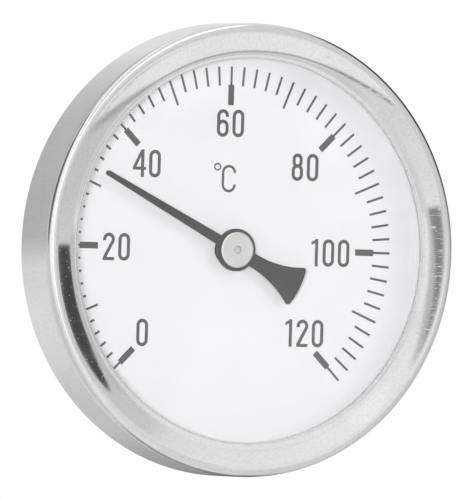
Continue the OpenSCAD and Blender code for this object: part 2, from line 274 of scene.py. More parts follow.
def node(tree, kind, inputs=None, **settings):
    """New shader node with its settings and inputs."""
    made = tree.nodes.new(kind)
    for key, value in settings.items():
        setattr(made, key, value)
    for key, value in (inputs or {}).items():
        feed(tree, made.inputs[key], value)
    return made


def maths(tree, operation, *values):
    """Result of a math node."""
    return node(tree, "ShaderNodeMath", dict(enumerate(values)), operation=operation).outputs[0]


def principled(name, **inputs):
    """New material, its node tree and its shader."""
    made = bpy.data.materials.new(name)
    made.use_nodes = True
    shader = made.node_tree.nodes["Principled BSDF"]
    for key, value in inputs.items():
        shader.inputs[key.replace("_", " ")].default_value = value
    return made, made.node_tree, shader


def where(tree):
    """Place on the object, in metres."""
    return node(tree, "ShaderNodeTexCoord").outputs["Object"]


def turned(tree, axis="Y", level=0.0):
    """Place as (distance from the axis, level along it), so that a pattern runs round the axis."""
    parts = node(tree, "ShaderNodeSeparateXYZ", {"Vector": where(tree)})
    names = {"Y": ("X", "Z", "Y"), "Z": ("X", "Y", "Z")}[axis]
    side = maths(tree, "ADD", parts.outputs[names[1]], level)
    flat_place = node(tree, "ShaderNodeCombineXYZ", {"X": parts.outputs[names[0]], "Y": side})
    radius = node(tree, "ShaderNodeVectorMath", {0: flat_place.outputs[0]}, operation="LENGTH")
    both = node(tree, "ShaderNodeCombineXYZ", {"X": radius.outputs["Value"], "Y": parts.outputs[names[2]]})
    return both.outputs[0]


def noise(tree, place, scale, detail=3.0, roughness=0.5):
    """Grey noise, about 1 / scale metres across."""
    made = node(
        tree,
        "ShaderNodeTexNoise",
        {"Vector": place, "Scale": scale, "Detail": detail, "Roughness": roughness},
    )
    return made.outputs[0]


def spread(tree, value, low, high, start=0.3, end=0.7):
    """Value from start to end becomes low to high, and no less or more beyond them."""
    made = node(
        tree,
        "ShaderNodeMapRange",
        {"Value": value, "From Min": start, "From Max": end, "To Min": low, "To Max": high},
    )
    return made.outputs[0]


def blend(tree, value, first, second):
    """Colour from first to second as value goes from 0.3 to 0.7."""
    made = node(tree, "ShaderNodeValToRGB", {"Fac": value})
    made.color_ramp.elements[0].position = 0.3
    made.color_ramp.elements[0].color = (*first, 1)
    made.color_ramp.elements[1].position = 0.7
    made.color_ramp.elements[1].color = (*second, 1)
    return made.outputs["Color"]


def bump(tree, shader, height, strength, distance):
    """Fine relief on the shader's normal."""
    made = node(tree, "ShaderNodeBump", {"Height": height, "Strength": strength, "Distance": distance})
    tree.links.new(made.outputs[0], shader.inputs["Normal"])


def streaks(tree, turn, scale, thin, low, high):
    """Sparse fine scratches along one direction: 0 beside them, up to 1 in them."""
    mapped = node(
        tree,
        "ShaderNodeMapping",
        {"Vector": where(tree), "Rotation": turn, "Scale": (scale, scale, scale * thin)},
    )
    lines = noise(tree, mapped.outputs[0], 1.0, detail=2.0)
    return spread(tree, lines, 0.0, 1.0, low, high)


def round_axis(tree):
    """Angle round the axis, distance from it and level along it."""
    x, y, z = node(tree, "ShaderNodeSeparateXYZ", {"Vector": where(tree)}).outputs
    angle = maths(tree, "ARCTAN2", z, x)
    flat_place = node(tree, "ShaderNodeCombineXYZ", {"X": x, "Y": z}).outputs[0]
    radius = node(tree, "ShaderNodeVectorMath", {0: flat_place}, operation="LENGTH").outputs["Value"]
    return angle, radius, y


def plating():
    """Bright plated sheet: a mirror with faint clouds and grain, drawing lines across the rim, specks,
    scratches that are most on the right, and a dull cut edge at the lip."""
    made, tree, shader = principled("bright_plating", Metallic=1.0)
    place = where(tree)
    angle, radius, level = round_axis(tree)
    squeeze = 14.0
    way = maths(tree, "MULTIPLY", angle, CASE_R * MM * squeeze)
    drawn = node(tree, "ShaderNodeCombineXYZ", {"X": way, "Y": radius, "Z": level}).outputs[0]
    lines = noise(tree, drawn, 260.0, detail=5.0, roughness=0.65)
    clouds = noise(tree, place, 70.0, detail=4.0)
    grain = noise(tree, place, 2000.0)
    mottle = maths(tree, "MULTIPLY_ADD", clouds, 0.7, grain)
    mottle = maths(tree, "MULTIPLY_ADD", lines, 0.5, mottle)
    tone = spread(tree, mottle, 0.0, 1.0, 0.6, 1.6)
    colour = blend(tree, tone, (0.81, 0.815, 0.82), (0.90, 0.903, 0.905))
    feed(tree, shader.inputs["Base Color"], colour)
    first = streaks(tree, (0.3, 0.5, 0.2), 160.0, 26.0, 0.64, 0.71)
    second = streaks(tree, (1.1, -0.4, 0.9), 150.0, 30.0, 0.65, 0.71)
    short = streaks(tree, (-0.5, 1.3, 0.4), 460.0, 4.0, 0.64, 0.72)
    most = maths(tree, "MAXIMUM", maths(tree, "MAXIMUM", first, second), short)
    across = node(tree, "ShaderNodeSeparateXYZ", {"Vector": place}).outputs["X"]
    worn = spread(tree, across, 0.12, 1.0, 0.0, 0.032)
    scratches = maths(tree, "MULTIPLY", most, worn)
    dots = node(tree, "ShaderNodeTexVoronoi", {"Vector": place, "Scale": 1300.0}).outputs["Distance"]
    specks = spread(tree, dots, 1.0, 0.0, 0.05, 0.14)
    marked = maths(tree, "MAXIMUM", scratches, specks)
    smudge = spread(tree, noise(tree, place, 220.0, detail=5.0), 0.03, 0.06)
    rough = maths(tree, "MULTIPLY_ADD", marked, 0.3, smudge)
    edge = spread(tree, radius, 0.5, 0.0, (LIP_R + 0.05) * MM, (LIP_R + 0.3) * MM)
    feed(tree, shader.inputs["Roughness"], maths(tree, "MAXIMUM", rough, edge))
    relief = maths(tree, "MULTIPLY_ADD", scratches, -2.0, grain)
    bump(tree, shader, relief, 0.03, 0.00002)
    return made


def clear_glass():
    """Thin clear pane: seen straight through, with the mirror of its two faces and a faint film."""
    made = bpy.data.materials.new("window_glass")
    made.use_nodes = True
    tree = made.node_tree
    tree.nodes.remove(tree.nodes["Principled BSDF"])
    through = node(tree, "ShaderNodeBsdfTransparent", {"Color": (0.990, 0.993, 0.992, 1)})
    film = spread(tree, noise(tree, where(tree), 60.0), 0.0, 0.03)
    shine = node(tree, "ShaderNodeBsdfGlossy", {"Color": (1, 1, 1, 1), "Roughness": film})
    facing = node(tree, "ShaderNodeLayerWeight", {"Blend": 0.5}).outputs["Facing"]
    straight = 0.035
    slant = maths(tree, "POWER", facing, 5.0)
    share = maths(tree, "MULTIPLY_ADD", slant, 1 - straight, straight)
    mix = node(tree, "ShaderNodeMixShader", {0: share})
    tree.links.new(through.outputs[0], mix.inputs[1])
    tree.links.new(shine.outputs[0], mix.inputs[2])
    tree.links.new(mix.outputs[0], tree.nodes["Material Output"].inputs["Surface"])
    return made


def coating(name, first, second, roughness, grain, depth, level=0.4):
    """Lacquer, ink, rubber or plastic: a mottled colour with a fine grain."""
    made, tree, shader = principled(name)
    shader.inputs["Specular IOR Level"].default_value = level
    mottle = noise(tree, where(tree), 120.0, 4.0)
    feed(tree, shader.inputs["Base Color"], blend(tree, mottle, first, second))
    fine = noise(tree, where(tree), grain)
    feed(tree, shader.inputs["Roughness"], spread(tree, fine, roughness - 0.05, roughness + 0.05))
    bump(tree, shader, fine, 0.15, depth)
    return made


def lathed(name, first, second, roughness, tarnish=60.0, axis="Y", level=0.0):
    """Turned metal: marks of the tool round the axis, and patches of tarnish."""
    made, tree, shader = principled(name, Metallic=1.0)
    patches = noise(tree, where(tree), tarnish, 5.0, 0.6)
    marks = noise(tree, turned(tree, axis, level), 4200.0, 2.0)
    tone = node(tree, "ShaderNodeMix", {"Factor": 0.45, "A": patches, "B": marks}).outputs["Result"]
    feed(tree, shader.inputs["Base Color"], blend(tree, tone, first, second))
    dull = spread(tree, patches, roughness - 0.04, roughness + 0.08)
    feed(tree, shader.inputs["Roughness"], maths(tree, "MULTIPLY_ADD", marks, 0.08, dull))
    bump(tree, shader, marks, 0.3, 0.00001)
    return made


def rolled_strip():
    """Bimetal strip: rolled lines along it and a warm, heat-tinted grey."""
    made, tree, shader = principled("bimetal_strip", Metallic=1.0)
    tint = noise(tree, where(tree), 300.0, 4.0)
    feed(tree, shader.inputs["Base Color"], blend(tree, tint, (0.52, 0.46, 0.38), (0.68, 0.65, 0.60)))
    lines = noise(tree, turned(tree), 9000.0, 2.0)
    feed(tree, shader.inputs["Roughness"], spread(tree, lines, 0.26, 0.40))
    bump(tree, shader, lines, 0.3, 0.000005)
    return made


def fibre_sheet():
    """Red-brown vulcanised fibre with darker flecks."""
    made, tree, shader = principled("fibre_sheet")
    flecks = noise(tree, where(tree), 1800.0, 6.0, 0.7)
    feed(tree, shader.inputs["Base Color"], blend(tree, flecks, (0.16, 0.035, 0.022), (0.27, 0.07, 0.045)))
    feed(tree, shader.inputs["Roughness"], spread(tree, flecks, 0.7, 0.85))
    bump(tree, shader, flecks, 0.4, 0.00004)
    return made


MATERIALS = {
    "plated_steel": plating(),
    "glass": clear_glass(),
    "gasket": coating("grey_rubber", (0.50, 0.505, 0.51), (0.58, 0.585, 0.59), 0.75, 2500.0, 0.00004),
    "spacer": coating("white_plastic", (0.87, 0.875, 0.88), (0.90, 0.905, 0.91), 0.55, 3000.0, 0.00002),
    "dial_white": coating(
        "dial_lacquer", (0.880, 0.882, 0.894), (0.900, 0.902, 0.914), 0.55, 4000.0, 0.00001, 0.25
    ),
    "ink": coating("scale_ink", (0.102, 0.102, 0.104), (0.120, 0.120, 0.122), 0.6, 5000.0, 0.00001, 0.25),
    "pointer_black": coating("satin_black", (0.048,) * 3, (0.061,) * 3, 0.5, 4500.0, 0.00001, 0.3),
    "bright_metal": lathed("turned_aluminium", (0.83, 0.82, 0.80), (1.0, 0.99, 0.97), 0.18, 420.0),
    "shaft_steel": lathed("ground_steel", (0.80, 0.79, 0.78), (0.88, 0.87, 0.86), 0.26, 200.0),
    "brass": lathed("turned_brass", (0.60, 0.41, 0.16), (0.76, 0.57, 0.27), 0.24),
    # painted shade: near-black brass for the upper bush, in place of the shadow seen through the dial's
    # centre hole
    "brass_painted_as_shade": lathed("brass_blackened_as_painted_shade", (0.07, 0.065, 0.06), (0.12, 0.11, 0.10), 0.35),
    "bimetal": rolled_strip(),
    "fibre": fibre_sheet(),
    "screw_steel": lathed(
        "plated_screw", (0.60, 0.59, 0.55), (0.74, 0.73, 0.70), 0.24, 250.0, "Z", SCREW_LEVEL * MM
    ),
}


def dress(obj, body, slot, *nodes, finish=None):
    """Gives a piece its material and its body, and hides the solids it stands for."""
    obj.data.materials.clear()
    obj.data.materials.append(MATERIALS[finish or slot])
    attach(obj, body)
    if nodes:
        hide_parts(*nodes)
    return obj


# Case


def shell_section():
    """Section of the drawn shell: rolled edge, wall, corner, flat land and lip."""
    sheet, guard = 0.6, 0.01
    rear, edge_r, fold, fold_r, lip_back = 23.5, 37.2, (39.0, 24.5), 1.0, 125.88
    inner, outer = (LAND_IN, SHOULDER_LEVEL), (LAND_OUT, SHOULDER_LEVEL)
    outside = [(edge_r, rear), (fold[0] - guard, rear)]
    outside += arc(fold, fold_r, -90, 0, 16)
    outside += [(CASE_R, fold[1] + guard), (CASE_R, CORNER[1] - guard)]
    outside += arc(CORNER, CORNER_R, 0, CORNER_TURN, 24)
    outside += arc(outer, SHOULDER_R, CORNER_TURN, 90, 12)[1:]
    outside += [(LAND_OUT - guard, LAND), (LAND_IN + guard, LAND)]
    outside += arc(inner, SHOULDER_R, 90, LIP_TURN, 16)
    inside = arc(inner, SHOULDER_R - sheet, lip_back, 90, 10)
    inside += arc(outer, SHOULDER_R - sheet, 90, CORNER_TURN, 6)
    inside += arc(CORNER, CORNER_R - sheet, CORNER_TURN, 0, 6)[1:]
    inside += arc(fold, fold_r - sheet, 0, -90, 6)
    inside += [(edge_r, rear + sheet)]
    return soften(outside + inside, 0.12)


dress(lathe("case_shell", shell_section(), segments=512), "head", "plated_steel", "front_shell")

plate = [
    (5.53, BACK_PLATE[0]), (32.97, BACK_PLATE[0]), (34.47, 24.1), (38.97, 24.1),
    (38.97, DIAL_BACK), (34.47, DIAL_BACK), (32.97, BACK_PLATE[1]), (5.53, BACK_PLATE[1]),
]
dress(lathe("case_back", soften(plate, 0.35, 5)), "head", "plated_steel", "back_plate")

seal = [(LIP_R, GASKET[0]), (38.8, GASKET[0]), (38.8, GASKET[1]), (LIP_R, GASKET[1])]
dress(lathe("window_seal", soften(seal, 0.12)), "head", "gasket", "window_gasket")

pane = [(0, WINDOW[0]), (DISC_R, WINDOW[0]), (DISC_R, WINDOW[1]), (0, WINDOW[1])]
dress(lathe("window_pane", soften(pane, 0.2)), "head", "glass", "window")

distance = [(38.3, FACE), (DISC_R, FACE), (DISC_R, WINDOW[0]), (38.3, WINDOW[0])]
dress(lathe("distance_ring", soften(distance, 0.08)), "head", "spacer", "spacer_ring")

# Dial and its printed scale

disc = [(2.6, DIAL_BACK), (DISC_R, DIAL_BACK), (DISC_R, FACE), (2.6, FACE)]
dress(lathe("dial_disc", soften(disc, 0.05)), "head", "dial_white", "dial_plate")

# Middle of the print, height of the signs and width of their lines
PRINT = (-0.18, 0.13)
HEIGHT = 4.86
INK = 0.60


def loop(left, low, right, high):
    """Upright oval line with round ends, closed."""
    r = (right - left) / 2
    return arc((left + r, high - r), r, 0, 180, 14) + arc((left + r, low + r), r, 180, 360, 14)


# Signs: the width of each, and the shapes it is made of


def zero():
    half = INK / 2
    return 2.27, stroke(loop(half, half, 2.27 - half, HEIGHT - half), INK, True)


def one():
    wide = 1.33
    stem = ((wide - INK, 0), (wide, 0), (wide, HEIGHT), (wide - INK, HEIGHT))
    flag = ((0, HEIGHT - 1.04), (wide - INK, HEIGHT - 0.76), (wide - 0.28, HEIGHT), (0, HEIGHT - 0.52))
    return wide, [stem, flag]


def two():
    wide, half = 2.30, INK / 2
    r = wide / 2 - half
    hook = [(half, HEIGHT - 1.38)] + arc((wide / 2, HEIGHT - half - r), r, 180, -24, 20)
    hook += [(half + 0.04, INK * 0.8), (half + 0.04, INK * 0.3)]
    return wide, stroke(hook, INK) + [((0, 0), (wide - 0.06, 0), (wide - 0.06, 0.56), (0, 0.56))]


def four():
    wide = 2.58
    stem = ((1.60, 0), (2.20, 0), (2.20, HEIGHT), (1.60, HEIGHT))
    slope = ((0, 1.74), (0.62, 1.74), (2.20, HEIGHT), (1.60, HEIGHT))
    bar = ((0, 1.27), (wide, 1.27), (wide, 1.80), (0, 1.80))
    return wide, [stem, slope, bar]


def six():
    wide, half = 2.30, INK / 2
    r = wide / 2 - half
    bowl = stroke(loop(half, half, wide - half, 2.74), INK, True)
    hook = [(half, 1.3)] + arc((wide / 2, HEIGHT - half - r), r, 180, 0, 16)
    hook.append((wide - half, HEIGHT - 1.33))
    return wide, bowl + stroke(hook, INK)


def eight():
    wide, half = 2.22, INK / 2
    lower = stroke(loop(half, half, wide - half, 2.68), INK, True)
    upper = stroke(loop(half + 0.12, 2.62, wide - half - 0.12, HEIGHT - half), INK, True)
    return wide, lower + upper


def letter_c():
    wide, line = 2.80, 0.46
    half = line / 2
    r = wide / 2 - half
    curve = [(wide - half, HEIGHT - 1.42)] + arc((wide / 2, HEIGHT - half - r), r, 0, 180, 16)
    curve += arc((wide / 2, half + r), r, 180, 360, 16) + [(wide - half, 1.42)]
    return wide, stroke(curve, line)


def group(signs, centre, gaps):
    """Signs side by side round a centre, each as one shape."""
    made = [sign() for sign in signs]
    total = sum(wide for wide, _ in made) + sum(gaps)
    x, y = centre[0] - total / 2, centre[1] - HEIGHT / 2
    shapes = []
    for (wide, quads), gap in zip(made, [*gaps, 0]):
        shapes.append(([[(px + x, py + y) for px, py in quad] for quad in quads], ()))
        x += wide + gap
    return shapes


def tick(temperature, inner, outer, width):
    """One radial mark of the scale."""
    a = math.radians(SCALE_START - SCALE_STEP * temperature)
    along, across = Vector((math.cos(a), math.sin(a))), Vector((-math.sin(a), math.cos(a))) * width / 2
    start, end = Vector(PRINT) + along * inner, Vector(PRINT) + along * outer
    return [start - across, end - across, end + across, start + across]


def scale_shapes():
    """All marks and numbers of the scale."""
    long, short, rim, line = 27.15, 28.86, 32.24, 0.41
    bar = (25.38, 29.0, 1.14)
    shapes = []
    for temperature in range(0, 121, 2):
        inner = long if temperature % 20 == 10 else short
        marks = [tick(temperature, inner, rim, line)]
        if temperature % 20 == 0:
            marks.append(tick(temperature, *bar))
        shapes.append((marks, ()))
    shapes += group([zero], (-16.43, -14.99), [])
    shapes += group([two, zero], (-21.93, 0.00), [0.72])
    shapes += group([four, zero], (-16.40, 14.81), [0.60])
    shapes += group([six, zero], (-0.14, 22.33), [0.76])
    shapes += group([eight, zero], (14.83, 14.93), [0.76])
    shapes += group([one, zero, zero], (20.28, -0.11), [0.94, 0.74])
    shapes += group([one, two, zero], (15.55, -14.43), [0.90, 0.74])
    shapes += group([letter_c], (-0.19, 12.55), [])
    degree_sign = arc((-2.45, 14.59), 0.58, 0, 360, 24)[:-1]
    shapes.append((stroke(degree_sign, 0.27, True), ()))
    return shapes


SUNK, PROUD = 0.01, 0.02
scale = slab("dial_scale", scale_shapes(), FACE - SUNK, FACE + PROUD)
dress(scale, "head", "dial_white", finish="ink")

# Pointer, hub and shaft


def tail_outline():
    """Flared tail along -X: hollow sides, round end and rounded corners."""
    tail_r, corner_r, flare_r, flare_x, waist = 14.25, 0.5, 18.5, 4.2, 1.21
    side = Vector((flare_x, waist + flare_r))
    d, end_reach, side_reach = side.length, tail_r - corner_r, flare_r + corner_r
    along = (d * d + end_reach * end_reach - side_reach * side_reach) / (2 * d)
    u = side / d
    centre = along * u + math.sqrt(end_reach**2 - along**2) * Vector((u.y, -u.x))
    to_side = math.degrees(math.atan2(side.y - centre.y, side.x - centre.x))
    to_end = math.degrees(math.atan2(centre.y, centre.x))
    half = [(0, waist)] + arc(side, flare_r, -90, to_side - 180, 24)
    half += arc(centre, corner_r, to_side, to_end, 8)[1:]
    half += arc((0, 0), tail_r, to_end, 0, 10)[1:]
    whole = half + [(x, -y) for x, y in reversed(half[:-1])]
    return [(-x, -y) for x, y in whole]


def spin(polygon):
    """Turns a flat outline to the shown temperature."""
    c, s = math.cos(POINTER_ANGLE), math.sin(POINTER_ANGLE)
    return [(x * c - y * s, x * s + y * c) for x, y in polygon]


ROOT, TIP_X, TIP_R, EYE_R, EYE_BORE_R = 0.94, 28.48, 0.42, 3.75, 1.83
needle = [(0, -ROOT)] + arc((TIP_X, 0), TIP_R, -89, 89, 12) + [(0, ROOT)]
outline = [spin(needle), spin(arc((0, 0), EYE_R, 0, 360, 96)[:-1]), spin(tail_outline())]
bore = spin(arc((0, 0), EYE_BORE_R, 0, 360, 48)[:-1])
hand = slab("needle", [(outline, [bore])], *POINTER)
dress(bevel(hand, 0.06), "indicator", "pointer_black", "pointer")

hub = [
    (0.63, 26.8), (1.8, 26.8), (1.8, POINTER[1]), (3.15, POINTER[1]),
    (3.15, 29.12), (2.88, HUB_TOP), (0.76, HUB_TOP), (0.63, 29.17),
]
dress(lathe("hub_cap", soften(hub, 0.04)), "indicator", "bright_metal", "pointer_hub")

spindle = [(0, 5.5), (0.6, 5.5), (0.6, 29.2), (0, 29.2)]
dress(lathe("spindle", soften(spindle, 0.12), segments=96), "indicator", "shaft_steel", "pointer_shaft")

# Stem and helix

tube = [(3.8, STEM_LOW), (STEM_R, STEM_LOW), (STEM_R, STEM_TOP), (3.8, STEM_TOP)]
dress(lathe("stem_sleeve", soften(tube, 0.1), segments=160), "head", "brass", "stem_tube")

SPIGOT_R = 2.9255
plug = [(0, -37.7)] + arc((3.9, -37.1), 0.6, -90, 0, 8) + [(STEM_R, STEM_LOW), (3.77, STEM_LOW)]
plug += [(3.77, -32.7), (SPIGOT_R, -32.7), (SPIGOT_R, -29.3), (0, -29.3)]
dress(lathe("stem_end", soften(plug, 0.08), segments=160), "head", "brass", "stem_plug")

collar = [
    (4.53, NECK_TOP), (6.6, NECK_TOP), (7.0, 19.9), (7.0, BACK_PLATE[0]), (5.5, BACK_PLATE[0]),
    (5.5, BACK_PLATE[1]), (6.5, BACK_PLATE[1]), (6.5, STEM_TOP), (4.53, STEM_TOP),
]
dress(lathe("stem_flange", soften(collar, 0.1), segments=192), "head", "brass", "stem_collar")


def helix():
    """Bimetal strip wound in an open helix, with broken edges."""
    turns, steps, pitch, low = 13, 72, 3.0, -30.2
    near, far, half, edge = 3.0, 3.3, 1.1, 0.06
    ring = [
        (near, -half + edge), (near + edge, -half), (far - edge, -half), (far, -half + edge),
        (far, half - edge), (far - edge, half), (near + edge, half), (near, half - edge),
    ]
    verts, faces, n = [], [], len(ring)
    for step in range(turns * steps + 1):
        a = math.tau * step / steps
        for r, z in ring:
            verts.append(on_axis(r * math.cos(a), r * math.sin(a), z + low + pitch * step / steps))
    for step in range(turns * steps):
        for i in range(n):
            j = (i + 1) % n
            faces.append((step * n + i, step * n + j, (step + 1) * n + j, (step + 1) * n + i))
    faces.append(tuple(range(n)))
    faces.append(tuple(turns * steps * n + i for i in range(n)))
    return solid("wound_strip", verts, faces)


dress(helix(), "head", "bimetal", "bimetal_helix")

# Solids that keep their shape and only get their metal; the upper bush gets near-black brass, a painted
# shade that stands for the shadow seen in the dial's centre hole
for name, metal in (("upper_bush", "brass_painted_as_shade"), ("lower_bush", "brass"), ("helix_collar", "brass")):
    bush = bpy.data.objects[name]
    for index in range(len(bush.data.materials)):
        bush.material_slots[index].material = MATERIALS[metal]

# Pocket and locking screw

SIDES = 192
SCREW_SEAT = 9.0


def rings(points):
    """Round rows, one for each (radius, level)."""
    return [[p] * SIDES for p in points]


def thread_rows(radius, depth, pitch, low, high, limit, per_turn=20):
    """Rows of a screw thread at even levels, its crests flattened; limit(level) caps the radius."""
    swell = 1.25
    count = round((high - low) / pitch * per_turn)
    rows = []
    for k in range(count + 1):
        z = low + (high - low) * k / count
        row = []
        for i in range(SIDES):
            wave = swell * math.cos(math.tau * (z / pitch - i / SIDES))
            r = radius - depth / 2 + depth / 2 * max(-1.0, min(1.0, wave))
            row.append((min(r, limit(z)), z))
        rows.append(row)
    return rows


def screwed_end():
    """Thread, relief groove and soldered bore of the pocket."""
    end, top, groove_r, socket_r = -14.0, 0.0, THREAD_R - 1.2, 6.03
    depth, pitch = 1.162, 1.814

    def limit(z):
        return min(THREAD_R, THREAD_R - 1.0 + (z - end), groove_r + (top - z) * 1.5)

    rows = rings([(socket_r, SOLDER_LEVEL), (socket_r, end + 0.1), (socket_r + 0.1, end)])
    rows += thread_rows(THREAD_R, depth, pitch, end, top, limit)
    rows += rings([(groove_r, WASHER_T), (BORE_R, WASHER_T), (BORE_R, SOLDER_LEVEL)])
    return polar("pocket_thread", rows, weld=True)


def hexagon(i):
    """Radius of the hexagon at one of its sides' points."""
    a = 360 * i / SIDES
    return HEX_FLAT_R / math.cos(math.radians(a % 60 - 30))


def hex_body():
    """Hexagon with chamfered corners, the neck behind the case, and the hole for the locking screw."""
    high, neck, fillet, chamfer, mouth, slope = 9.5, 8.0, 0.25, 0.4, 0.15, 0.8
    corner = HEX_FLAT_R / math.cos(math.radians(30))

    def drop(r):
        return slope * max(0.0, r - WASHER_R) / (corner - WASHER_R)

    edge = [hexagon(i) for i in range(SIDES)]
    rows = rings([(BORE_R, WASHER_T), (WASHER_R, WASHER_T)])
    rows.append([(r, WASHER_T + drop(r)) for r in edge])
    rows.append([(r, high - drop(r)) for r in edge])
    rows += rings([(WASHER_R, high), (neck + fillet, high)])
    rows += rings(arc((neck + fillet, high + fillet), fillet, -90, -180, 4)[1:])
    rows += rings([(neck, NECK_TOP - chamfer), (neck - chamfer, NECK_TOP)])
    rows += rings([(BORE_R + mouth, NECK_TOP), (BORE_R, NECK_TOP - mouth)])
    made = polar("pocket_hexagon", rows)
    bore = lathe("bore", [(0, 0.0), (2.06, 0.0), (2.06, SCREW_SEAT), (0, SCREW_SEAT)], on_screw, 98)
    return bevel(cut(made, bore), 0.1)


dress(screwed_end(), "pocket", "brass", "pocket_body")
dress(hex_body(), "pocket", "brass", "pocket_body")

well = [(0, -40.0)] + arc((4.4, -38.4), 1.6, -90, 0, 12)
well += [(6.0, SOLDER_LEVEL), (BORE_R, SOLDER_LEVEL), (BORE_R, -38.5), (0, -38.5)]
dress(lathe("pocket_sleeve", soften(well, 0.12), segments=192), "pocket", "brass", "pocket_tube")

washer = [(10.5025, 0), (WASHER_R, 0), (WASHER_R, WASHER_T), (10.5025, WASHER_T)]
dress(lathe("seal_ring", soften(washer, 0.2)), "pocket", "fibre", "sealing_washer")


def screw():
    """Slotted screw with a threaded shank and a chamfered tip."""
    shank_r, tip_r, tip, head_r, top, edge = 2.0, 1.6, 4.56, 3.5, 11.6, 0.4
    hollow_r, slot_half, slot_low = 1.8, 0.5, 10.4

    def limit(z):
        return min(shank_r, tip_r + z - tip)

    rows = [(0, tip)] + thread_rows(shank_r, 0.43, 0.7, tip, SCREW_SEAT, limit, 10)
    head = [(hollow_r, SCREW_SEAT), (head_r, SCREW_SEAT), (head_r, top - edge), (head_r - edge, top)]
    head = soften([*head, (hollow_r, top)], 0.12)
    rows += rings([p for p in head if p[0] > hollow_r + 0.05]) + [(0, top)]
    made = polar("clamp_screw", rows, on_screw, weld=True)
    sides = (-slot_half, slot_half)
    corners = [(x, y, z) for x in (-4, 4) for y in sides for z in (slot_low, top + 1)]
    quads = [(0, 1, 3, 2), (4, 6, 7, 5), (0, 4, 5, 1), (2, 3, 7, 6), (0, 2, 6, 4), (1, 5, 7, 3)]
    return cut(made, solid("slot", [on_screw(*c) for c in corners], quads))


dress(screw(), "lock", "screw_steel", "locking_screw")

# Camera at the photograph's viewing angle: how far off it stands and aims beside the dial's middle,
# the size of a pixel there, the height of the photograph in pixels and the sensor in mm

YAW, PITCH, ROLL = (math.radians(a) for a in (26.547, -0.058, -1.557))
DISTANCE, ASIDE, ABOVE = 3.0, 0.001529, -0.000058
PIXEL, PHOTO_HEIGHT, SENSOR = 0.00017659, 500, 36
turn = Matrix.Rotation(ROLL, 3, "Z") @ Matrix.Rotation(PITCH, 3, "X") @ Matrix.Rotation(YAW, 3, "Y")
right, up, back = (Vector((row[0], -row[2], row[1])) for row in turn)
lens = bpy.data.cameras.new("camera")
lens.sensor_width = SENSOR
lens.lens = DISTANCE / PIXEL * SENSOR / PHOTO_HEIGHT
lens.clip_start = 0.1
lens.clip_end = 50
camera = bpy.data.objects.new("camera", lens)
camera.matrix_world = Matrix((right, up, back)).transposed().to_4x4()
camera.location = on_axis(0, 0, FACE) + back * DISTANCE + right * ASIDE + up * ABOVE
bpy.context.collection.objects.link(camera)
bpy.context.scene.camera = camera

# Studio: floor, lamps, cards that only the metal mirrors, and the room's tone


def emitter(name, tone, fade=None, soft=False):
    """Glowing grey; fade is (other tone, direction, from, to) in metres, soft lets the edges fade out."""
    made = bpy.data.materials.new(name)
    made.use_nodes = True
    tree = made.node_tree
    glow = node(tree, "ShaderNodeEmission", {"Strength": tone})
    if fade:
        other, slope, start, end = fade
        along = node(tree, "ShaderNodeVectorMath", {0: where(tree), 1: slope}, operation="DOT_PRODUCT")
        feed(tree, glow.inputs["Strength"], spread(tree, along.outputs["Value"], other, tone, start, end))
    shown = glow
    if soft:
        cover = node(tree, "ShaderNodeAttribute", attribute_name="cover")
        shown = node(tree, "ShaderNodeMixShader", {0: cover.outputs["Fac"]})
        tree.links.new(node(tree, "ShaderNodeBsdfTransparent").outputs[0], shown.inputs[1])
        tree.links.new(glow.outputs[0], shown.inputs[2])
    tree.links.new(shown.outputs[0], tree.nodes["Material Output"].inputs["Surface"])
    return made


def card(name, verts, faces, material):
    """Stage card that is seen only in mirrors."""
    mesh = bpy.data.meshes.new(name)
    mesh.from_pydata(verts, [], faces)
    mesh.materials.append(material)
    obj = bpy.data.objects.new(name, mesh)
    bpy.context.collection.objects.link(obj)
    for kind in ("camera", "diffuse", "transmission", "volume_scatter", "shadow"):
        setattr(obj, "visible_" + kind, False)
    return mesh


def bezel_at(s):
    """Radius, level and normal of the bezel at s mm along its section from the edge of the lip."""
    if LAND_START <= s < LAND_END:
        return LAND_IN + s - LAND_START, LAND, 0.0, 1.0
    if s < LAND_START:
        centre, radius, turn, start = (LAND_IN, SHOULDER_LEVEL), SHOULDER_R, LIP_TURN, 0.0
    elif s < CORNER_START:
        centre, radius, turn, start = (LAND_OUT, SHOULDER_LEVEL), SHOULDER_R, 90, LAND_END
    else:
        centre, radius, turn, start = CORNER, CORNER_R, CORNER_TURN, CORNER_START
    a = math.radians(turn) - (s - start) / radius
    across, along = math.cos(a), math.sin(a)
    return centre[0] + radius * across, centre[1] + radius * along, across, along


def mirrored_at(angle, s, reach):
    """Point that the camera sees mirrored at one place of the bezel, reach mm away from it."""
    r, z, across, along = bezel_at(s)
    c, n = math.cos(math.radians(angle)), math.sin(math.radians(angle))
    normal = on_axis(across * c, across * n, along).normalized()
    place = on_axis(r * c, r * n, z)
    sight = (camera.location - place).normalized()
    return place + (2 * normal.dot(sight) * normal - sight) * reach * MM


